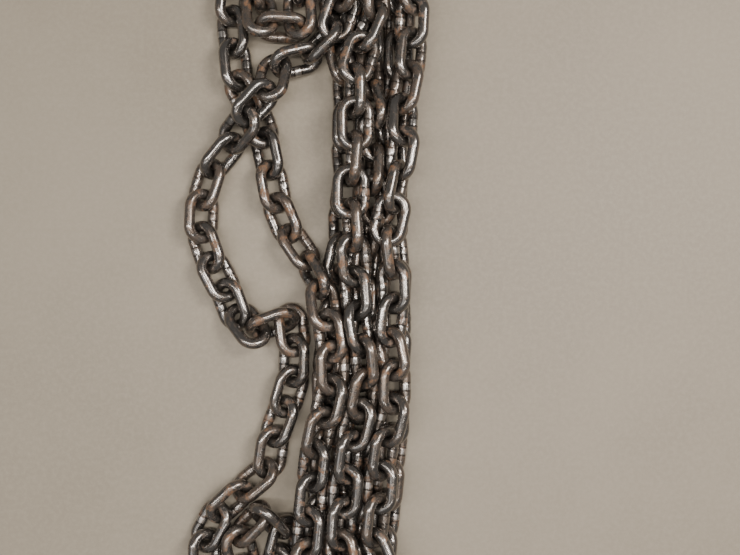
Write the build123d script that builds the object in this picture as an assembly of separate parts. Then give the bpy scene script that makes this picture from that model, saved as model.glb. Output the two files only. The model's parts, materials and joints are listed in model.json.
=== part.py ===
"""Load binder chain: a welded-link transport chain laid back and forth as a hank.

Most of the chain lies in a pile of seven passes, two layers deep.  Both ends run
clear of the pile as free tails, and each tail carries a clevis grab hook.
"""
from build123d import *
import os
import numpy as np
from scipy.interpolate import CubicSpline
from scipy.spatial import cKDTree

os.makedirs("parts", exist_ok=True)

# ---- driving dimensions (mm) -------------------------------------------------
WIRE = 10.0                          # round bar the links are bent from
INSIDE_LENGTH = 3.12 * WIRE          # clear length inside a link
INSIDE_WIDTH = 1.40 * WIRE           # clear width inside a link
GAP = 0.3                            # play between neighbouring links
WELD_RISE = 0.04 * WIRE              # height of the weld upset over the bar
WELD_WIDTH = 0.60 * WIRE             # length of the weld upset along the bar
TAIL_LINKS = 12                      # free links in each tail
TAIL_BEND = 8.0                      # bend at the first joints of a resting tail, degrees
EASED_LINKS = 8                      # last links of a tail, which roll until the last lies flat
RUNS = 22                            # runs the piled links are grouped in
HOOK_SLOT = 1.20 * WIRE              # width of the grab slot
HOOK_REACH = 6.8 * WIRE              # clevis pin to the bottom of the slot
HOOK_THICK = 1.40 * WIRE             # thickness of the hook forging
EAR = 0.60 * WIRE                    # thickness of one clevis ear
PIN = 0.95 * WIRE                    # clevis pin diameter
PIN_PLAY = 0.25                      # pin to hole, all round
COTTER = 0.22 * WIRE                 # cotter wire

R = WIRE / 2
CROWN = (INSIDE_WIDTH + WIRE) / 2    # radius of a link's end, to the bar centre
REACH = (INSIDE_LENGTH + WIRE) / 2   # link centre to the bar centre at its end
STRAIGHT = REACH - CROWN             # half of a link's straight leg
PITCH = INSIDE_LENGTH - GAP          # centre to centre of two taut links
LOW = R + WELD_RISE + CROWN * np.sin(np.pi / 4)  # centre height of a strand on the ground
UPPER = LOW + 2.2 * WIRE             # centre height of a strand on other strands
MIDDLE = (LOW + UPPER) / 2
HIGH = UPPER + 0.4 * WIRE
RIDGE = UPPER + 1.3 * WIRE            # where two strands lie over a third
TAIL_RISE = 0.62 * CROWN * (1 - np.sin(np.pi / 4))  # climb of a tail to where a link is on edge

# ---- the way the chain is laid, for 10 mm bar: across, along, centre height --
ROUTE_WIRE = 10.0
PASS_1 = [(25, 372, LOW), (25, 330, LOW), (24, 290, LOW), (21, 230, LOW), (19, 160, LOW),
          (18, 80, LOW), (18, 20, LOW), (19, -50, LOW), (18, -110, LOW), (12, -180, LOW),
          (4, -250, LOW)]
TURN_1 = [(4, -282, LOW), (-3, -304, LOW), (-18, -300, LOW), (-23, -274, LOW)]
PASS_2 = [(-20, -240, LOW), (-12, -190, LOW), (-9, -130, LOW), (-7, -60, LOW), (-3, 0, LOW + 8),
          (2, 50, LOW + 16), (4, 110, LOW + 18), (5, 170, LOW + 16), (2, 215, LOW + 8),
          (-1, 245, LOW)]
TURN_2 = [(-1, 276, LOW), (-10, 300, LOW), (-25, 296, LOW), (-29, 268, LOW)]
PASS_3 = [(-26, 238, LOW), (-18, 200, LOW), (-14, 160, LOW), (-14, 100, LOW), (-19, 50, LOW),
          (-27, 0, LOW), (-33, -50, LOW), (-35, -100, LOW), (-36, -150, LOW), (-42, -200, LOW),
          (-48, -245, LOW)]
TURN_3 = [(-52, -280, LOW), (-63, -310, LOW), (-79, -302, LOW)]
KNOT = [(-82, -270, LOW), (-77, -240, MIDDLE), (-79, -214, UPPER), (-98, -214, HIGH),
        (-116, -226, UPPER), (-122, -252, MIDDLE)]
TURN_4 = [(-126, -282, LOW), (-140, -298, LOW), (-153, -280, LOW)]
LOOP = [(-153, -252, LOW), (-148, -228, MIDDLE), (-132, -206, MIDDLE), (-112, -194, MIDDLE),
        (-94, -180, MIDDLE), (-88, -158, MIDDLE), (-90, -136, MIDDLE), (-78, -118, LOW),
        (-70, -94, LOW), (-69, -66, LOW), (-75, -40, LOW), (-86, -22, UPPER),
        (-94, -38, UPPER), (-108, -54, MIDDLE), (-123, -44, LOW), (-129, -18, LOW),
        (-139, 4, LOW), (-154, 20, LOW), (-157, 48, LOW), (-155, 76, LOW), (-147, 100, LOW),
        (-134, 118, MIDDLE), (-116, 136, UPPER), (-100, 160, UPPER), (-98, 186, UPPER),
        (-82, 198, UPPER), (-56, 203, UPPER), (-33, 214, UPPER), (-22, 240, UPPER)]
TURN_5 = [(-20, 270, UPPER), (-32, 292, MIDDLE), (-50, 286, UPPER)]
BIGHT = [(-56, 262, UPPER), (-58, 238, HIGH), (-72, 219, HIGH), (-92, 226, HIGH),
         (-108, 244, UPPER)]
TURN_6 = [(-104, 272, MIDDLE), (-104, 298, MIDDLE), (-120, 300, LOW), (-128, 274, LOW)]
PASS_4 = [(-126, 244, LOW), (-127, 212, LOW), (-121, 182, LOW), (-110, 156, LOW),
          (-96, 130, LOW), (-93, 98, LOW), (-86, 66, LOW), (-74, 36, LOW), (-54, 10, MIDDLE),
          (-38, -16, UPPER), (-33, -48, UPPER), (-33, -80, UPPER), (-33, -114, UPPER),
          (-43, -146, UPPER), (-50, -176, UPPER), (-47, -206, UPPER), (-52, -240, UPPER)]
TURN_7 = [(-53, -266, UPPER), (-45, -288, HIGH), (-30, -290, HIGH), (-22, -268, UPPER)]
PASS_5 = [(-22, -244, UPPER), (-28, -218, UPPER), (-25, -192, UPPER), (-16, -162, UPPER),
          (-10, -132, UPPER), (-7, -102, UPPER), (-6, -70, UPPER), (-9, -40, UPPER),
          (-12, -10, HIGH), (-14, 22, RIDGE), (-14, 52, RIDGE), (-14, 80, RIDGE),
          (-11, 106, RIDGE), (-10, 132, RIDGE), (-12, 160, RIDGE), (-16, 182, RIDGE),
          (-5, 200, HIGH), (1, 222, UPPER), (2, 246, UPPER)]
TURN_8 = [(2, 274, UPPER), (12, 296, UPPER), (30, 292, UPPER), (37, 268, UPPER)]
PASS_6 = [(36, 240, UPPER), (37, 212, UPPER), (34, 182, RIDGE), (27, 152, RIDGE),
          (23, 120, RIDGE), (20, 88, RIDGE), (19, 56, RIDGE), (19, 26, RIDGE),
          (18, -4, HIGH), (18, -34, UPPER), (21, -66, UPPER), (21, -96, UPPER),
          (18, -126, UPPER), (13, -158, UPPER), (8, -188, UPPER), (5, -214, UPPER),
          (6, -244, UPPER), (12, -274, UPPER), (16, -304, HIGH), (18, -334, UPPER),
          (18, -366, LOW), (18, -400, LOW), (18, -435, LOW), (18, -470, LOW)]
ROUTE = (PASS_1 + TURN_1 + PASS_2 + TURN_2 + PASS_3 + TURN_3 + KNOT + TURN_4 + LOOP
         + TURN_5 + BIGHT + TURN_6 + PASS_4 + TURN_7 + PASS_5 + TURN_8 + PASS_6)
FIXED = 3                            # straight links kept at each end of the pile

# ---- laying the chain --------------------------------------------------------
def bar_points(count):
    """Points along the bar centre of one link, and the bar radius at each."""
    leg = 2 * STRAIGHT
    arc = np.pi * CROWN
    points = []
    radii = []
    for k in range(count):
        run = (k + 0.5) / count * 2 * (leg + arc)
        side = -1 if run < leg + arc else 1
        run = run % (leg + arc)
        if run < leg:
            spot = (run - STRAIGHT, -CROWN, 0)
        else:
            angle = (run - leg) / CROWN - np.pi / 2
            spot = (STRAIGHT + CROWN * np.cos(angle), CROWN * np.sin(angle), 0)
        welded = side < 0 and run < leg and abs(run - STRAIGHT) < 0.7 * WELD_WIDTH
        points.append((-side * spot[0], -side * spot[1], 0))
        radii.append(R + WELD_RISE if welded else R)
    return np.array(points), np.array(radii)


def walk(route, step):
    """Points one step apart along a smooth curve through the route."""
    chords = np.linalg.norm(np.diff(route, axis=0), axis=1)
    knots = np.concatenate([[0], np.cumsum(np.sqrt(chords))])
    fine = CubicSpline(knots, route)(np.linspace(0, knots[-1], 60000))
    stops = [fine[0]]
    here = 0
    while True:
        beyond = np.linalg.norm(fine[here:here + 6000] - stops[-1], axis=1) >= step
        if not beyond.any():
            return np.array(stops)
        here += int(beyond.argmax())
        stops.append(fine[here])


def spin_matrices(spins):
    """Rotation matrices for small rotation vectors."""
    angle = np.linalg.norm(spins, axis=1)
    axis = spins / np.maximum(angle, 1e-12)[:, None]
    skew = np.zeros((len(spins), 3, 3))
    skew[:, 0, 1] = -axis[:, 2]
    skew[:, 0, 2] = axis[:, 1]
    skew[:, 1, 0] = axis[:, 2]
    skew[:, 1, 2] = -axis[:, 0]
    skew[:, 2, 0] = -axis[:, 1]
    skew[:, 2, 1] = axis[:, 0]
    sine = np.sin(angle)[:, None, None]
    versine = (1 - np.cos(angle))[:, None, None]
    return np.eye(3) + sine * skew + versine * (skew @ skew)


def settle(centres, frames, loose, rounds, sink, hold, samples):
    """Push links apart wherever bars meet, while the loose ones sink to the ground."""
    home = centres.copy()
    shape, radii = bar_points(samples)
    everywhere = np.tile(radii, len(centres))
    spread = 3.0 / WIRE ** 2         # one over a link's squared radius of gyration
    for _ in range(rounds):
        points = (centres[:, None] + shape @ frames.transpose(0, 2, 1)).reshape(-1, 3)
        near = cKDTree(points).query_pairs(WIRE + 2 * WELD_RISE + GAP, output_type="ndarray")
        near = near[near[:, 0] // samples != near[:, 1] // samples]
        apart = points[near[:, 0]] - points[near[:, 1]]
        distance = np.linalg.norm(apart, axis=1)
        depth = everywhere[near[:, 0]] + everywhere[near[:, 1]] + GAP - distance
        touch = depth > 0
        near = near[touch]
        depth = depth[touch]
        push = apart[touch] / np.maximum(distance[touch], 1e-9)[:, None]
        owners = near // samples
        twist = [np.cross(points[near[:, k]] - centres[owners[:, k]], push) for k in (0, 1)]
        ease = [(1 + (twist[k] ** 2).sum(1) * spread) * loose[owners[:, k]] for k in (0, 1)]
        size = depth ** 2 / np.maximum(ease[0] + ease[1], 1e-9)
        move = np.zeros((len(centres), 3))
        spin = np.zeros((len(centres), 3))
        total = np.full(len(centres), 1e-9)
        for k, sign in ((0, 1), (1, -1)):
            np.add.at(move, owners[:, k], sign * size[:, None] * push)
            np.add.at(spin, owners[:, k], sign * spread * size[:, None] * twist[k])
            np.add.at(total, owners[:, k], depth)
        below = np.nonzero(everywhere > points[:, 2])[0]
        under = everywhere[below] - points[below, 2]
        arm = np.cross(points[below] - centres[below // samples], [0, 0, 1])
        size = under ** 2 / (1 + (arm ** 2).sum(1) * spread)
        np.add.at(move, below // samples, size[:, None] * np.array([0, 0, 1.0]))
        np.add.at(spin, below // samples, spread * size[:, None] * arm)
        np.add.at(total, below // samples, under)
        share = (1.3 * loose / total)[:, None]
        centres = centres + share * move
        frames = spin_matrices(share * spin) @ frames
        drift = home - centres
        drift[:, 2] = 0
        centres = centres + hold * loose[:, None] * drift
        centres[:, 2] -= sink * loose
    return centres, frames


def roll_frame(along, roll):
    """Link frame: x along the chain, y across the link, rolled from level."""
    level = np.cross([0, 0, 1], along)
    level = level / np.linalg.norm(level)
    rise = np.cross(along, level)
    across = np.cos(roll) * level + np.sin(roll) * rise
    return np.stack([along, across, np.cross(along, across)], axis=1)


def lay_pile():
    """Centres and frames of every link in the pile."""
    scale = np.array([WIRE / ROUTE_WIRE, WIRE / ROUTE_WIRE, 1])
    stops = walk(np.array(ROUTE) * scale, PITCH - 0.05 * WIRE)
    for k in range(FIXED):
        ahead = np.array([0, (FIXED - k) * PITCH, 0])
        stops[k] = stops[FIXED] * [1, 1, 0] + [0, 0, LOW] + ahead
        stops[-1 - k] = stops[-1 - FIXED] * [1, 1, 0] + [0, 0, LOW] - ahead
    stops[FIXED, 2] = LOW
    stops[-1 - FIXED, 2] = LOW
    centres = (stops[1:] + stops[:-1]) / 2
    ways = stops[1:] - stops[:-1]
    ways = ways / np.linalg.norm(ways, axis=1)[:, None]
    rolls = [np.radians(45 + 90 * (k % 2)) for k in range(len(ways))]
    frames = np.array([roll_frame(way, roll) for way, roll in zip(ways, rolls)])
    loose = np.ones(len(centres))
    loose[:FIXED] = 0
    loose[-FIXED:] = 0
    centres, frames = settle(centres, frames, loose, 500, 0, 0, 40)
    centres, frames = settle(centres, frames, loose, 900, 0.015, 0.003, 40)
    centres, frames = settle(centres, frames, loose, 800, 0, 0, 64)
    centres, frames = settle(centres, frames, loose, 250, 0, 0, 96)
    return centres, frames


def hang_tail(centre, frame):
    """Poses of one tail's links, each hinged on the end of the one before."""
    level = np.cross([0, 0, 1], frame[:, 0])
    roll = np.degrees(np.arctan2(frame[2, 1], frame[:, 1] @ level)) + 90 * TAIL_LINKS
    twist = -((roll + 90) % 180 - 90) / EASED_LINKS
    climb = TAIL_RISE / (PITCH * (TAIL_LINKS - 2.5))
    last_bent = TAIL_LINKS - EASED_LINKS - 1
    poses = []
    for k in range(TAIL_LINKS):
        pivot = centre + REACH * frame[:, 0]
        easing = k > last_bent
        bend = 0 if easing else np.radians(TAIL_BEND) * np.sign(frame[2, 1])
        bend = bend / 2 if k in (0, last_bent) else bend
        if k < 2:
            bend -= climb / 2 / frame[2, 2]
        if k == TAIL_LINKS - 2:
            bend += frame[2, 0] / frame[2, 2]
        frame = spin_matrices(bend * frame[None, :, 1])[0] @ frame
        turn = np.radians(90 + (twist if easing else 0))
        frame = spin_matrices(turn * frame[None, :, 0])[0] @ frame
        centre = pivot + (PITCH - REACH) * frame[:, 0]
        poses.append((centre, frame))
    return poses


def place(shape, centre, frame):
    """A copy of a shape at a pose."""
    seat = Plane(origin=tuple(centre), x_dir=tuple(frame[:, 0]), z_dir=tuple(frame[:, 2]))
    return seat.location * shape


# ---- solids ------------------------------------------------------------------
def make_link():
    """One welded link, flat in XY, long along X, its weld on the -Y leg."""
    half = WELD_WIDTH / 2
    groove = 0.15 * WELD_WIDTH
    shoulder = R + 0.5 * WELD_RISE
    with BuildLine() as outline:
        Line((-STRAIGHT, 0), (-STRAIGHT, R))
        Line((-STRAIGHT, R), (-half - 2 * groove, R))
        ThreePointArc((-half - 2 * groove, R), (-half - groove, R - 0.7 * WELD_RISE), (-half, shoulder))
        ThreePointArc((-half, shoulder), (0, R + WELD_RISE), (half, shoulder))
        ThreePointArc((half, shoulder), (half + groove, R - 0.7 * WELD_RISE), (half + 2 * groove, R))
        Line((half + 2 * groove, R), (STRAIGHT, R))
        Line((STRAIGHT, R), (STRAIGHT, 0))
        Line((STRAIGHT, 0), (-STRAIGHT, 0))
    welded_leg = Pos(0, -CROWN, 0) * revolve(make_face(outline.line), Axis.X)
    plain_leg = Pos(0, CROWN, 0) * Rot(0, 90, 0) * Cylinder(R, 2 * STRAIGHT)
    pieces = [welded_leg, plain_leg]
    for side in (-1, 1):
        leg_end = side * STRAIGHT
        bend = ThreePointArc((leg_end, -CROWN), (leg_end + side * CROWN, 0), (leg_end, CROWN))
        start = Plane(origin=bend @ 0, z_dir=bend % 0)
        pieces.append(sweep(start * Circle(R), path=bend))
    return Part() + pieces


EAR_FACE = R + 0.05 * WIRE           # middle of the clevis to an ear's inner face
EAR_BACK = EAR_FACE + EAR            # and to its outer face
EAR_RADIUS = 1.35 * WIRE             # round of the ears about the pin
CLEVIS_DEPTH = PIN / 2 + 1.3 * WIRE  # pin centre to the bottom of the clevis gap
BOWL = HOOK_SLOT / 2 + 0.65 * WIRE   # slot centre to the middle of the bowl's metal
HOOK_METAL = 1.30 * WIRE             # width of the metal round the slot


def make_hook():
    """Grab hook forging: pin hole at the origin, slot bottom out along +X."""
    slot_x = HOOK_REACH - HOOK_SLOT / 2
    neck_x = CLEVIS_DEPTH + 0.55 * WIRE
    tip_x = slot_x - 2.9 * WIRE
    half = HOOK_METAL / 2
    out = BOWL + half
    inn = BOWL - half
    with BuildSketch() as profile:
        with BuildLine():
            a = Line((neck_x - 0.3 * WIRE, 0.75 * WIRE), (neck_x - 0.3 * WIRE, -0.75 * WIRE))
            b = Spline(a @ 1, (slot_x - 2.2 * WIRE, -out), tangents=[(1, -0.25), (1, 0)])
            c = Line(b @ 1, (slot_x, -out))
            d = ThreePointArc((slot_x, -out), (slot_x + out, 0), (slot_x, out))
            e = Line(d @ 1, (tip_x + 1.4 * WIRE, out))
            f = Spline(e @ 1, (tip_x, out + 0.35 * WIRE), tangents=[(-1, 0), (-1, 0.35)])
            g = ThreePointArc(f @ 1, (tip_x - 0.5 * WIRE, BOWL + 0.45 * WIRE), (tip_x, inn + 0.35 * WIRE))
            h = Spline(g @ 1, (tip_x + 1.2 * WIRE, inn), tangents=[(1, -0.35), (1, 0)])
            i = Line(h @ 1, (slot_x, inn))
            j = ThreePointArc((slot_x, inn), (slot_x + inn, 0), (slot_x, -inn))
            k = Line(j @ 1, (slot_x - 2.2 * WIRE, -inn))
            l = Spline(k @ 1, a @ 0, tangents=[(-1, 0), (-0.6, 1)])
        make_face()
    hook = extrude(profile.sketch, HOOK_THICK / 2, both=True)
    edges = [edge for edge in hook.edges() if abs(abs(edge.center().Z) - HOOK_THICK / 2) < 0.01]
    hook = fillet(edges, 0.22 * HOOK_THICK)
    clevis = Cylinder(EAR_RADIUS, 2 * EAR_BACK)
    clevis += Pos(neck_x / 2, 0, 0) * Box(neck_x, 1.7 * WIRE, 2 * EAR_BACK)
    clevis += Pos(neck_x, 0, 0) * Cylinder(0.85 * WIRE, 2 * EAR_BACK)
    rims = [edge for edge in clevis.edges() if abs(abs(edge.center().Z) - EAR_BACK) < 0.01]
    clevis = chamfer(rims, 0.16 * WIRE)
    hook += clevis
    gap = Pos(-CLEVIS_DEPTH, 0, 0) * Box(4 * CLEVIS_DEPTH, 4 * EAR_RADIUS, 2 * EAR_FACE)
    hook -= gap
    hook -= Cylinder(PIN / 2 + PIN_PLAY, 4 * EAR_BACK)
    return hook


PIN_END = EAR_BACK + 0.62 * WIRE     # pin end beyond the middle of the clevis
COTTER_Z = EAR_BACK + 0.35 * WIRE    # cotter hole along the pin


def make_pin(head):
    """Clevis pin along Z with a cross hole for the cotter, its head down and this thick."""
    shaft = Pos(0, 0, (PIN_END - EAR_BACK) / 2) * Cylinder(PIN / 2, PIN_END + EAR_BACK)
    pin = shaft + Pos(0, 0, -EAR_BACK - head / 2) * Cylinder(0.8 * PIN, head)
    tip = [edge for edge in pin.edges() if abs(edge.center().Z - PIN_END) < 0.01]
    pin = chamfer(tip, 0.08 * WIRE)
    rim = [edge for edge in pin.edges() if abs(edge.center().Z + EAR_BACK + head) < 0.01]
    pin = fillet(rim, 0.2 * head)
    pin -= Pos(0, 0, COTTER_Z) * Rot(90, 0, 0) * Cylinder(COTTER / 2 + 0.15, 3 * PIN)
    return pin


def make_cotter():
    """Split cotter through the pin along Y: eye on one side, ends spread on the other."""
    reach = PIN / 2 + 0.15 * WIRE
    eye = Rot(0, 90, 0) * Torus(0.21 * WIRE, 0.45 * COTTER)
    pieces = [Rot(90, 0, 0) * Cylinder(COTTER / 2, 2 * reach), Pos(0, -reach - 0.17 * WIRE, 0) * eye]
    pieces.append(Pos(0, reach, 0) * Sphere(0.53 * COTTER))
    for side in (-1, 1):
        spread = Pos(0, reach, 0) * Rot(-90, 0, 0) * Rot(0, 48 * side, 0)
        pieces.append(spread * Pos(0, 0, 0.24 * WIRE) * Cylinder(0.27 * COTTER, 0.48 * WIRE))
    return Pos(0, 0, COTTER_Z) * (Part() + pieces)


# ---- assembly ----------------------------------------------------------------
pile_centres, pile_frames = lay_pile()
flip = np.diag([-1.0, -1.0, 1.0])
TAILS = {
    "a": hang_tail(pile_centres[0], pile_frames[0] @ flip),
    "b": hang_tail(pile_centres[-1], pile_frames[-1]),
}
link = make_link()
hook = make_hook()
lowest_eye = min(poses[-1][0][2] for poses in TAILS.values())
pin = make_pin(max(lowest_eye - EAR_BACK, 0.12 * WIRE))   # each hook lies on its pin's head
cotter = make_cotter()
nodes = {}
bounds = np.linspace(0, len(pile_centres), RUNS + 1).round().astype(int)
for run in range(RUNS):
    members = range(bounds[run], bounds[run + 1])
    copies = [place(link, pile_centres[k], pile_frames[k]) for k in members]
    nodes[f"pile_run_{run + 1:02d}"] = Compound([solid for copy in copies for solid in copy.solids()])
for tail, poses in TAILS.items():
    for k, (centre, frame) in enumerate(poses):
        nodes[f"tail_{tail}_link_{k + 1:02d}"] = place(link, centre, frame)
    centre, frame = poses[-1]
    eye = centre + (REACH - R - PIN / 2 - GAP) * frame[:, 0]
    if frame[2, 2] < 0:
        frame = frame @ np.diag([1.0, -1.0, -1.0])
    nodes[f"tail_{tail}_hook"] = place(hook, eye, frame)
    nodes[f"tail_{tail}_pin"] = place(pin, eye, frame)
    nodes[f"tail_{tail}_cotter"] = place(cotter, eye, frame)

# the origin: middle of the whole chain's box, on the ground
box = Compound([solid for shape in nodes.values() for solid in shape.solids()]).bounding_box()
home = Pos(-box.center().X, -box.center().Y, -box.min.Z)
for name, shape in nodes.items():
    export_step(home * shape, f"parts/{name}.step")
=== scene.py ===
"""Load binder chain on a plain pale floor, seen from above as the photograph shows it."""
import json
import math
import bpy
import numpy as np
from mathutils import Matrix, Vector


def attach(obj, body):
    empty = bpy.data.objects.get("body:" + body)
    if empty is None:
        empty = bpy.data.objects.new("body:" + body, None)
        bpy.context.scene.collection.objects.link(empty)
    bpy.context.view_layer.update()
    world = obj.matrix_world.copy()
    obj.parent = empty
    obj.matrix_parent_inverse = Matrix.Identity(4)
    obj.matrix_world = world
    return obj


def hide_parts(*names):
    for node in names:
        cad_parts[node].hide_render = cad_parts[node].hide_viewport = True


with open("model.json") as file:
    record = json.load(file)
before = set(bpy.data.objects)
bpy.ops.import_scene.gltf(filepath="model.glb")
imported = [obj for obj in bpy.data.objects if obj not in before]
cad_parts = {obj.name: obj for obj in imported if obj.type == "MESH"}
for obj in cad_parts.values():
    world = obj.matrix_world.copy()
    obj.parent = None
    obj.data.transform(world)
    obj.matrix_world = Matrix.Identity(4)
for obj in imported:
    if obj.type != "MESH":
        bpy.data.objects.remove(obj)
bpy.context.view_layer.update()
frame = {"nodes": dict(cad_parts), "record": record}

# ---- sizes, in metres --------------------------------------------------------
# The CAD link: its bar, the middle line of its bends and half of its straight legs.
WIRE = 0.010
INSIDE_LENGTH = 0.0312
INSIDE_WIDTH = 0.014
BAR = WIRE / 2
CROWN = (INSIDE_WIDTH + WIRE) / 2
STRAIGHT = (INSIDE_LENGTH + WIRE) / 2 - CROWN
LEG = 2 * STRAIGHT
ARC = math.pi * CROWN
WELD_RISE = 0.0004
WELD_HALF = 0.003
# How far the weld's metal draws a link's centre of volume towards the weld.
WELD_PULL = 0.065e-3

# The finer surface of the visible links. It stands out of the CAD's by less than 0.1 mm.
WELD_EDGE = 1.02 * WELD_HALF
WELD_RISE_SHARE = (0.55, 0.95)
WELD_FLAT = 0.12e-3
GROOVE_PLACE = 1.35 * WELD_HALF
GROOVE_WIDTH = 0.28 * WELD_HALF
GROOVE_DEPTH_SHARE = (0.10, 0.45)
CROWN_WEAR = 0.18e-3
WEAR_NARROWING = 1.4
# Height of a surface wave, and how far the bar is drawn in to make room for the waves.
SMOOTH_BAR = (0.008e-3, 0.04e-3)
CRUSTED_BAR = (0.045e-3, 0.25e-3)
CRUSTED_SHARE = 0.05
SURFACE_WAVES = 7
STATIONS = 112
AROUND = 28
# A loose part of the CAD mesh with fewer points than this is no link.
FEWEST_POINTS = 100

# Shader coordinates are in millimetres. Along the bar they are drawn together, for long streaks.
MILLIMETRES = 1000.0
STREAK_STRETCH = 0.1

# Where a link's marks fade in or out, in millimetres from its centre.
WELD_LEG_ACROSS = (-6.5, -8.0)
BAND_ALONG = (2.8, 2.5)
SEAM_START_ALONG = (3.0, 3.4)
SEAM_END_ALONG = (4.6, 4.1)
CROWN_ALONG = (14.0, 17.5)
CROWN_ACROSS = (6.0, 3.0)

# Shade is painted where surfaces are closer than this.
CREVICE = 0.008

SCENE_RNG = np.random.default_rng(7)

# ---- colours -----------------------------------------------------------------
CHAIN_DARK = (0.150, 0.138, 0.128, 1.0)
CHAIN_BROWN = (0.140, 0.106, 0.083, 1.0)
CHAIN_RUST_DARK = (0.060, 0.030, 0.016, 1.0)
CHAIN_RUST_LIGHT = (0.235, 0.108, 0.042, 1.0)
GRIME = (0.012, 0.010, 0.009, 1.0)
# Colour of the painted shade where links come close together.
PAINTED_SHADE = (0.010, 0.008, 0.006, 1.0)
WELD_BRIGHT = (0.46, 0.435, 0.41, 1.0)
WELD_SEAM = (0.016, 0.010, 0.007, 1.0)
RUBBED_STEEL = (0.20, 0.185, 0.17, 1.0)
HOOK_DARK = (0.075, 0.070, 0.066, 1.0)
HOOK_BROWN = (0.110, 0.082, 0.062, 1.0)
HOOK_RUST_DARK = (0.10, 0.035, 0.014, 1.0)
HOOK_RUST_LIGHT = (0.32, 0.12, 0.04, 1.0)
# Colour of the painted shade where hook parts come close together.
HOOK_PAINTED_SHADE = (0.010, 0.008, 0.007, 1.0)
PIN_GREY = (0.20, 0.19, 0.18, 1.0)
PIN_BROWN = (0.15, 0.12, 0.095, 1.0)
WIRE_GREY = (0.34, 0.33, 0.31, 1.0)
WIRE_BROWN = (0.22, 0.19, 0.16, 1.0)
FLOOR_DARK = (0.205, 0.172, 0.128, 1.0)
FLOOR_LIGHT = (0.250, 0.214, 0.165, 1.0)
FLOOR_GRAIN = (0.31, 0.272, 0.215, 1.0)


# ---- node helpers ------------------------------------------------------------
class Nodes:
    """A small builder for one shader tree."""

    def __init__(self, name):
        self.material = bpy.data.materials.new(name)
        self.material.use_nodes = True
        self.tree = self.material.node_tree
        self.tree.nodes.clear()
        self.out = self.tree.nodes.new("ShaderNodeOutputMaterial")
        self.bsdf = self.tree.nodes.new("ShaderNodeBsdfPrincipled")
        self.tree.links.new(self.bsdf.outputs["BSDF"], self.out.inputs["Surface"])

    def feed(self, socket, value):
        if isinstance(value, bpy.types.NodeSocket):
            self.tree.links.new(value, socket)
        else:
            socket.default_value = value

    def attribute(self, name, output):
        node = self.tree.nodes.new("ShaderNodeAttribute")
        node.attribute_name = name
        return node.outputs[output]

    def object_place(self, scale):
        """Object coordinates times scale, for pieces without link coordinates."""
        node = self.tree.nodes.new("ShaderNodeTexCoord")
        return self.vector("MULTIPLY", node.outputs["Object"], (scale, scale, scale))

    def math(self, operation, a, b=0.0, clamp=False):
        node = self.tree.nodes.new("ShaderNodeMath")
        node.operation = operation
        node.use_clamp = clamp
        self.feed(node.inputs[0], a)
        self.feed(node.inputs[1], b)
        return node.outputs[0]

    def add(self, a, b):
        return self.math("ADD", a, b)

    def times(self, a, b):
        return self.math("MULTIPLY", a, b)

    def about_zero(self, value, amount):
        """A noise value moved to stand about zero, times amount."""
        return self.times(self.math("SUBTRACT", value, 0.5), amount)

    def vector(self, operation, a, b):
        node = self.tree.nodes.new("ShaderNodeVectorMath")
        node.operation = operation
        self.feed(node.inputs[0], a)
        self.feed(node.inputs[1], b)
        return node.outputs[0]

    def split(self, vector):
        node = self.tree.nodes.new("ShaderNodeSeparateXYZ")
        self.feed(node.inputs[0], vector)
        return node.outputs

    def join(self, x, y, z):
        node = self.tree.nodes.new("ShaderNodeCombineXYZ")
        for socket, value in zip(node.inputs, (x, y, z)):
            self.feed(socket, value)
        return node.outputs[0]

    def noise(self, vector, scale, detail=4.0, rough=0.55, distortion=0.0):
        node = self.tree.nodes.new("ShaderNodeTexNoise")
        self.feed(node.inputs["Vector"], vector)
        self.feed(node.inputs["Scale"], scale)
        self.feed(node.inputs["Detail"], detail)
        self.feed(node.inputs["Roughness"], rough)
        self.feed(node.inputs["Distortion"], distortion)
        return node.outputs[0]

    def cells(self, vector, scale):
        node = self.tree.nodes.new("ShaderNodeTexVoronoi")
        self.feed(node.inputs["Vector"], vector)
        self.feed(node.inputs["Scale"], scale)
        return node.outputs["Distance"]

    def ramp(self, value, low, high, to_low=0.0, to_high=1.0):
        """A smooth step from to_low to to_high while value goes from low to high."""
        node = self.tree.nodes.new("ShaderNodeMapRange")
        node.interpolation_type = "SMOOTHSTEP"
        self.feed(node.inputs["Value"], value)
        self.feed(node.inputs["From Min"], low)
        self.feed(node.inputs["From Max"], high)
        self.feed(node.inputs["To Min"], to_low)
        self.feed(node.inputs["To Max"], to_high)
        return node.outputs[0]

    def mix(self, factor, a, b):
        """A colour between a and b."""
        node = self.tree.nodes.new("ShaderNodeMix")
        node.data_type = "RGBA"
        self.feed(node.inputs[0], factor)
        self.feed(node.inputs[6], a)
        self.feed(node.inputs[7], b)
        return node.outputs[2]

    def blend(self, factor, a, b):
        """A number between a and b."""
        node = self.tree.nodes.new("ShaderNodeMix")
        self.feed(node.inputs[0], factor)
        self.feed(node.inputs[2], a)
        self.feed(node.inputs[3], b)
        return node.outputs[0]

    def crevice(self, least):
        """Ambient occlusion for painted shade: 1 in the open, falling to least where surfaces are close
        together.
        """
        node = self.tree.nodes.new("ShaderNodeAmbientOcclusion")
        node.samples = 4
        node.inputs["Distance"].default_value = CREVICE
        return self.ramp(node.outputs["AO"], 0.15, 0.85, least, 1.0)

    def bump(self, height, strength, distance, normal=None):
        node = self.tree.nodes.new("ShaderNodeBump")
        self.feed(node.inputs["Height"], height)
        self.feed(node.inputs["Strength"], strength)
        self.feed(node.inputs["Distance"], distance)
        if normal is not None:
            self.tree.links.new(normal, node.inputs["Normal"])
        return node.outputs[0]

    def surface(self, values):
        """Feed the sockets of the surface shader by their names."""
        for name, value in values.items():
            self.feed(self.bsdf.inputs[name], value)


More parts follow.
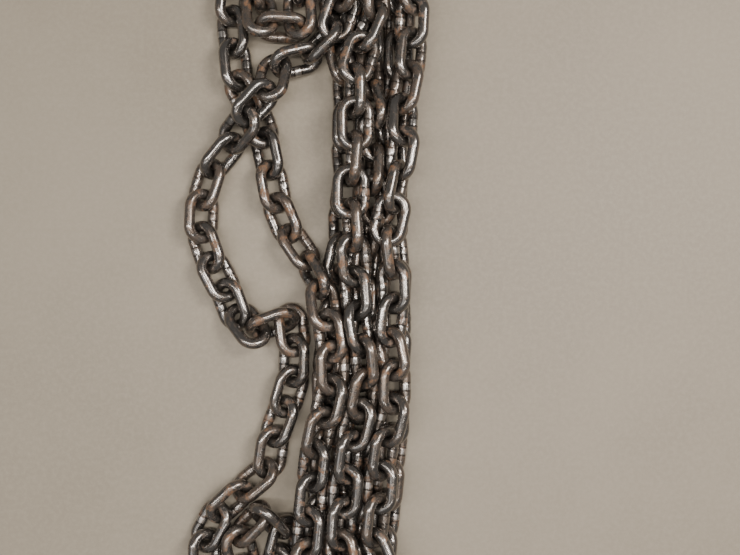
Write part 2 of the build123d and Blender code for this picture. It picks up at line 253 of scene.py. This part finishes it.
# ---- materials ---------------------------------------------------------------
def chain_steel():
    """Oiled bare steel: drawn bar with a brown film, rust patches, grime, painted shade between links and
    a clean weld on some links.
    """
    n = Nodes("chain_oiled_steel")
    spot = n.attribute("link_spot", "Vector")
    bar = n.attribute("link_bar", "Vector")
    seed = n.attribute("link_seed", "Fac")
    x, y = n.split(spot)[:2]
    off_middle = n.math("ABSOLUTE", x)

    # Each link takes its own part of the patterns.
    shift = n.join(n.times(seed, 91.7), n.times(seed, 37.3), seed)
    place = n.vector("ADD", spot, shift)
    drawn = n.vector("ADD", bar, shift)
    cloud = n.noise(place, 0.07, 3.0, 0.6)
    film = n.noise(place, 0.17, 5.0, 0.6, 0.6)
    grain = n.noise(place, 1.8, 4.0, 0.65)
    fleck = n.noise(place, 0.8, 6.0, 0.7, 0.3)
    streak = n.noise(drawn, 0.85, 4.0, 0.6)

    # Dark steel under a brown film, more of it on some links, with grime in the grain.
    browned = n.ramp(n.add(film, n.about_zero(seed, 0.24)), 0.40, 0.64)
    color = n.mix(browned, CHAIN_DARK, CHAIN_BROWN)
    color = n.mix(n.ramp(grain, 0.40, 0.78, 0.0, 0.5), color, GRIME)
    metal = n.blend(browned, 0.92, 0.70)
    rough = n.blend(browned, 0.20, 0.28)

    # Rust patches.
    patches = n.add(n.times(film, 0.4), n.times(cloud, 0.6))
    patches = n.add(patches, n.about_zero(fleck, 0.15))
    rusted = n.ramp(patches, 0.55, 0.65)
    rust_tone = n.mix(n.ramp(fleck, 0.38, 0.62), CHAIN_RUST_DARK, CHAIN_RUST_LIGHT)
    color = n.mix(n.times(rusted, 0.80), color, rust_tone)
    metal = n.blend(rusted, metal, 0.05)
    rough = n.blend(rusted, rough, 0.72)

    # Drawing streaks along the bar, and a fine grain that is coarse where it rusts.
    rough = n.math("ADD", rough, n.ramp(streak, 0.3, 0.7, -0.05, 0.09), True)
    ridges = n.bump(streak, n.blend(rusted, 0.34, 0.2), 0.0002)
    height = n.add(n.times(grain, 0.35), n.times(fleck, 0.65))
    normal = n.bump(height, n.blend(rusted, 0.12, 0.9), 0.0004, ridges)

    # The weld on one leg: a band, scraped bright on some links, and a dark seam at each side.
    weld_leg = n.ramp(y, *WELD_LEG_ACROSS)
    band = n.times(n.ramp(off_middle, *BAND_ALONG), weld_leg)
    seam = n.times(n.ramp(off_middle, *SEAM_START_ALONG), n.ramp(off_middle, *SEAM_END_ALONG))
    seam = n.times(seam, weld_leg)
    bright = n.ramp(n.math("FRACT", n.times(seed, 7.3)), 0.58, 0.70, 0.08, 1.0)
    clean = n.times(n.times(band, bright), n.ramp(streak, 0.36, 0.60, 0.1, 1.0))
    color = n.mix(n.times(clean, 0.85), color, WELD_BRIGHT)
    metal = n.blend(clean, metal, 0.92)
    rough = n.blend(clean, rough, 0.30)
    color = n.mix(n.times(seam, 0.75), color, WELD_SEAM)

    # Crowns rubbed by their neighbours, and painted shade where links come close together: darker, rougher
    # and with less oil.
    off_axis = n.math("ABSOLUTE", y)
    rubbed = n.times(n.ramp(off_middle, *CROWN_ALONG), n.ramp(off_axis, *CROWN_ACROSS))
    color = n.mix(n.times(rubbed, 0.3), color, RUBBED_STEEL)
    shade = n.crevice(0.25)
    color = n.mix(shade, PAINTED_SHADE, color)
    rough = n.blend(shade, 0.62, rough)
    oil = n.times(n.blend(rusted, 0.8, 0.15), shade)

    n.surface({"Base Color": color, "Metallic": metal, "Roughness": rough, "Normal": normal})
    n.surface({"Coat Weight": oil, "Coat Roughness": 0.11, "Coat Normal": ridges})
    return n.material


def forged_steel(name, dark, brown, rust_start, clean_metal, clean_rough):
    """Forged or turned steel of the hooks. Rust begins where the pattern passes rust_start."""
    n = Nodes(name)
    place = n.object_place(MILLIMETRES)
    film = n.noise(place, 0.10, 5.0, 0.6, 0.5)
    grain = n.noise(place, 1.3, 4.0, 0.65)
    fleck = n.noise(place, 0.5, 6.0, 0.7, 0.3)
    pits = n.cells(place, 0.9)
    rusted = n.ramp(n.add(film, n.about_zero(fleck, 0.5)), rust_start, rust_start + 0.08)
    rust_tone = n.mix(n.ramp(fleck, 0.35, 0.65), HOOK_RUST_DARK, HOOK_RUST_LIGHT)
    color = n.mix(n.ramp(film, 0.42, 0.62), dark, brown)
    color = n.mix(n.times(rusted, 0.8), color, rust_tone)
    # Painted shade where surfaces come close together.
    color = n.mix(n.crevice(0.3), HOOK_PAINTED_SHADE, color)
    metal = n.blend(rusted, clean_metal, 0.05)
    rough = n.blend(rusted, clean_rough, 0.8)
    height = n.add(n.times(grain, 0.4), n.times(n.ramp(pits, 0.0, 0.35), 0.6))
    normal = n.bump(height, n.blend(rusted, 0.3, 0.8), 0.0005)
    n.surface({"Base Color": color, "Metallic": metal, "Roughness": rough, "Normal": normal})
    return n.material


def floor_material():
    """Plain pale concrete-coloured floor with only a faint unevenness."""
    n = Nodes("pale_floor")
    place = n.object_place(1.0)
    broad = n.noise(place, 3.0, 4.0, 0.6)
    fine = n.noise(place, 220.0, 5.0, 0.7)
    color = n.mix(n.ramp(broad, 0.3, 0.7), FLOOR_DARK, FLOOR_LIGHT)
    color = n.mix(n.ramp(fine, 0.35, 0.75, 0.0, 0.35), color, FLOOR_GRAIN)
    rough = n.ramp(broad, 0.3, 0.7, 0.5, 0.62)
    normal = n.bump(fine, 0.12, 0.0005)
    n.surface({"Base Color": color, "Roughness": rough, "Normal": normal})
    n.surface({"Metallic": 0.0, "Specular IOR Level": 0.4})
    return n.material


CHAIN_STEEL = chain_steel()
HOOK_STEELS = {
    "hook": forged_steel("hook_forged_steel", HOOK_DARK, HOOK_BROWN, 0.66, 0.75, 0.40),
    "pin": forged_steel("pin_turned_steel", PIN_GREY, PIN_BROWN, 0.70, 0.95, 0.33),
    "cotter": forged_steel("cotter_wire_steel", WIRE_GREY, WIRE_BROWN, 0.72, 0.95, 0.36),
}


# ---- links -------------------------------------------------------------------
def mesh_arrays(node):
    """Vertices, with doubles merged, and triangles of a CAD node, in metres."""
    mesh = node.data
    spots = np.empty(len(mesh.vertices) * 3)
    mesh.vertices.foreach_get("co", spots)
    mesh.calc_loop_triangles()
    faces = np.empty(len(mesh.loop_triangles) * 3, dtype=int)
    mesh.loop_triangles.foreach_get("vertices", faces)
    merged, place = np.unique(spots.reshape(-1, 3).round(7), axis=0, return_inverse=True)
    return merged, place.ravel()[faces].reshape(-1, 3)


def loose_parts(spots, faces):
    """Label of the connected part that each vertex is in."""
    label = np.arange(len(spots))
    edges = np.concatenate([faces[:, [0, 1]], faces[:, [1, 2]]])
    while True:
        low = np.minimum(label[edges[:, 0]], label[edges[:, 1]])
        new = label.copy()
        np.minimum.at(new, edges[:, 0], low)
        np.minimum.at(new, edges[:, 1], low)
        new = new[new]
        if (new == label).all():
            return label
        label = new


def link_pose(spots, faces):
    """Centre and axes of one closed link, from its volume's moments.

    X is the link's long axis and Z is square to its plane. -Y is the weld's side, which stands
    out further from the centre of volume.
    """
    middle = spots.mean(axis=0)
    a, b, c = ((spots - middle)[faces[:, k]] for k in range(3))
    volume = (np.cross(a, b) * c).sum(axis=1) / 6
    total = volume.sum()
    centre = (volume[:, None] * (a + b + c) / 4).sum(axis=0) / total
    moment = np.zeros((3, 3))
    for part in (a, b, c, a + b + c):
        moment += np.einsum("i,ij,ik->jk", volume, part, part) / 20
    moment = moment / total - np.outer(centre, centre)
    axes = np.linalg.eigh(moment)[1]
    x, y = axes[:, 2], axes[:, 1]
    across = (spots - middle - centre) @ y
    if across.max() > -across.min():
        y = -y
    return middle + centre + WELD_PULL * y, np.stack([x, y, np.cross(x, y)], axis=1)


# The bar's middle line, from the start of the -Y leg: how far along the whole link, how far along
# this half of it, and how far turned round its crown. Then the angles round the bar.
RUN = np.arange(STATIONS) / STATIONS * 2 * (LEG + ARC)
HALF_RUN = RUN % (LEG + ARC)
TURNED = np.where(HALF_RUN < LEG, 0.0, (HALF_RUN - LEG) / CROWN)
ANGLE = np.arange(AROUND) / AROUND * 2 * math.pi


def bar_radius(rng):
    """Radius of one link's bar, for each station along it and each angle round it."""
    off_weld = np.abs(RUN - STRAIGHT)
    band = np.clip(1 - (off_weld / WELD_EDGE) ** 6, 0, 1)
    groove = np.exp(-((off_weld - GROOVE_PLACE) / GROOVE_WIDTH) ** 2)
    rise = rng.uniform(*WELD_RISE_SHARE) * WELD_RISE
    depth = rng.uniform(*GROOVE_DEPTH_SHARE) * WELD_RISE
    radius = BAR + rise * band - depth * groove
    lean = rng.uniform(0, 2 * math.pi)
    radius = radius[:, None] - WELD_FLAT * np.outer(band, 1 + np.cos(ANGLE - lean))
    waves = np.zeros((STATIONS, AROUND))
    for _ in range(SURFACE_WAVES):
        turns_round = rng.integers(0, 4)
        turns_along = rng.integers(1, 9)
        phase = rng.uniform(0, 2 * math.pi)
        waves += np.cos(turns_round * ANGLE + turns_along * math.pi * RUN[:, None] / (LEG + ARC) + phase)
    height, drawn_in = CRUSTED_BAR if rng.random() < CRUSTED_SHARE else SMOOTH_BAR
    radius += height * waves - drawn_in
    crown = np.clip(np.cos(WEAR_NARROWING * (TURNED - math.pi / 2)), 0, 1) ** 4 * (HALF_RUN >= LEG)
    inside = np.clip(-np.cos(ANGLE), 0, 1) ** 3
    return radius - CROWN_WEAR * np.outer(crown, inside)


def link_surface(rng):
    """One link in its own frame, swept along its bar's middle line with the weld on the -Y leg.

    Returns the vertices and, in shader units, their place along and round the bar.
    """
    side = np.where(RUN < LEG + ARC, 1.0, -1.0)
    level = np.zeros(STATIONS)
    outward = np.stack([side * np.sin(TURNED), -side * np.cos(TURNED), level], axis=1)
    leg_place = side * (np.minimum(HALF_RUN, LEG) - STRAIGHT)
    middle = np.stack([leg_place, level, level], axis=1) + CROWN * outward
    up = np.array([0, 0, 1.0])
    ring = outward[:, None] * np.cos(ANGLE)[:, None] + up * np.sin(ANGLE)[:, None]
    verts = middle[:, None] + bar_radius(rng)[:, :, None] * ring
    along = np.repeat(STREAK_STRETCH * MILLIMETRES * RUN[:, None], AROUND, axis=1)
    around = [np.broadcast_to(MILLIMETRES * BAR * wave(ANGLE), along.shape) for wave in (np.cos, np.sin)]
    return verts.reshape(-1, 3), np.stack([along, *around], axis=-1).reshape(-1, 3)


def link_faces():
    """Quads that join the stations of one link into a closed tube."""
    s, a = np.meshgrid(np.arange(STATIONS), np.arange(AROUND), indexing="ij")
    next_s, next_a = (s + 1) % STATIONS, (a + 1) % AROUND
    corners = ((s, a), (next_s, a), (next_s, next_a), (s, next_a))
    return np.stack([station * AROUND + angle for station, angle in corners], axis=-1).reshape(-1, 4)


FACES = link_faces()


def link_shapes(node):
    """All links of a CAD node: vertices, their places in mm, their places on the bar, and seeds."""
    spots, faces = mesh_arrays(frame["nodes"][node])
    label = loose_parts(spots, faces)
    shapes = []
    for part in np.unique(label):
        inside = np.nonzero(label == part)[0]
        if len(inside) < FEWEST_POINTS:
            continue
        number = np.full(len(spots), -1)
        number[inside] = np.arange(len(inside))
        own = faces[label[faces[:, 0]] == part]
        centre, axes = link_pose(spots[inside], number[own])
        shape, bar = link_surface(SCENE_RNG)
        seed = np.full(len(shape), SCENE_RNG.random())
        shapes.append((centre + shape @ axes.T, shape * MILLIMETRES, bar, seed))
    return [np.concatenate(values) for values in zip(*shapes)]


def build_links(name, node, body):
    """One visible mesh for all the links of a CAD node."""
    verts, spot, bar, seed = link_shapes(node)
    quads = np.concatenate([FACES + start for start in range(0, len(verts), STATIONS * AROUND)])
    mesh = bpy.data.meshes.new(name)
    mesh.vertices.add(len(verts))
    mesh.vertices.foreach_set("co", verts.ravel())
    mesh.loops.add(quads.size)
    mesh.loops.foreach_set("vertex_index", quads.ravel())
    mesh.polygons.add(len(quads))
    mesh.polygons.foreach_set("loop_start", np.arange(len(quads)) * 4)
    mesh.polygons.foreach_set("loop_total", np.full(len(quads), 4))
    mesh.update(calc_edges=True)
    mesh.polygons.foreach_set("use_smooth", np.ones(len(quads), dtype=bool))
    for title, values in (("link_spot", spot), ("link_bar", bar)):
        layer = mesh.attributes.new(title, "FLOAT_VECTOR", "POINT")
        layer.data.foreach_set("vector", values.ravel())
    layer = mesh.attributes.new("link_seed", "FLOAT", "POINT")
    layer.data.foreach_set("value", seed)
    mesh.materials.append(CHAIN_STEEL)
    piece = bpy.data.objects.new(name, mesh)
    bpy.context.scene.collection.objects.link(piece)
    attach(piece, body)
    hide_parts(node)


def paint_hook_piece(node):
    """Give a hook, pin or cotter its steel. It keeps the CAD's shape."""
    mesh = frame["nodes"][node].data
    mesh.materials.clear()
    mesh.materials.append(HOOK_STEELS[node.rsplit("_", 1)[1]])
    mesh.polygons.foreach_set("use_smooth", np.ones(len(mesh.polygons), dtype=bool))
    mesh.set_sharp_from_angle(angle=math.radians(30))


for body, nodes in frame["record"]["behaviour"]["bodies"].items():
    for node in nodes:
        if "run" in node or "link" in node:
            build_links(f"{node}_steel", node, body)
        else:
            paint_hook_piece(node)

# ---- floor, lights and camera ------------------------------------------------
FLOOR_SIZE = 8
KEY_COLOR = (1.0, 0.95, 0.89)
STRIP_COLOR = (1.0, 0.96, 0.91)
FILL_COLOR = (0.96, 0.97, 1.0)
ROOM_COLOR = (1.0, 0.97, 0.93, 1.0)
ROOM_STRENGTH = 0.26
CAMERA_SPOT = (0.0119, 0.0490, 0.9)
SENSOR_WIDTH = 36.0
LENS = 46.7027
ORIGIN = (0, 0, 0)

bpy.ops.mesh.primitive_plane_add(size=FLOOR_SIZE)
floor = bpy.context.object
floor.name = "floor"
floor.data.materials.append(floor_material())


def softbox(name, spot, aim, size, power, color):
    """A rectangular soft light at spot, turned to aim."""
    light = bpy.data.lights.new(name, "AREA")
    light.shape = "RECTANGLE"
    light.size, light.size_y = size
    light.energy = power
    light.color = color
    lamp = bpy.data.objects.new(name, light)
    lamp.location = spot
    lamp.rotation_euler = (Vector(aim) - Vector(spot)).to_track_quat("-Z", "Y").to_euler()
    bpy.context.scene.collection.objects.link(lamp)


# The long strips give each bar its narrow highlight.
softbox("key", (0.80, 0.45, 1.30), ORIGIN, (0.30, 0.50), 17.0, KEY_COLOR)
softbox("strip_right", (0.34, 0.0, 1.75), (0.10, 0, 0), (0.05, 2.20), 24.0, STRIP_COLOR)
softbox("strip_left", (-0.42, 0.0, 1.75), (-0.10, 0, 0), (0.05, 2.20), 17.0, STRIP_COLOR)
softbox("strip_low", (0.05, -0.75, 1.35), ORIGIN, (1.20, 0.05), 5.0, STRIP_COLOR)
softbox("fill", (-0.9, -0.5, 1.3), ORIGIN, (0.5, 0.5), 2.0, FILL_COLOR)

world = bpy.data.worlds.new("room")
world.use_nodes = True
world.node_tree.nodes["Background"].inputs["Color"].default_value = ROOM_COLOR
world.node_tree.nodes["Background"].inputs["Strength"].default_value = ROOM_STRENGTH
bpy.context.scene.world = world

camera_data = bpy.data.cameras.new("camera")
camera_data.sensor_fit = "HORIZONTAL"
camera_data.sensor_width = SENSOR_WIDTH
camera_data.lens = LENS
# Unturned, the camera looks straight down, with +Y at the top of the picture.
camera = bpy.data.objects.new("camera", camera_data)
camera.location = CAMERA_SPOT
bpy.context.scene.collection.objects.link(camera)
bpy.context.scene.camera = camera
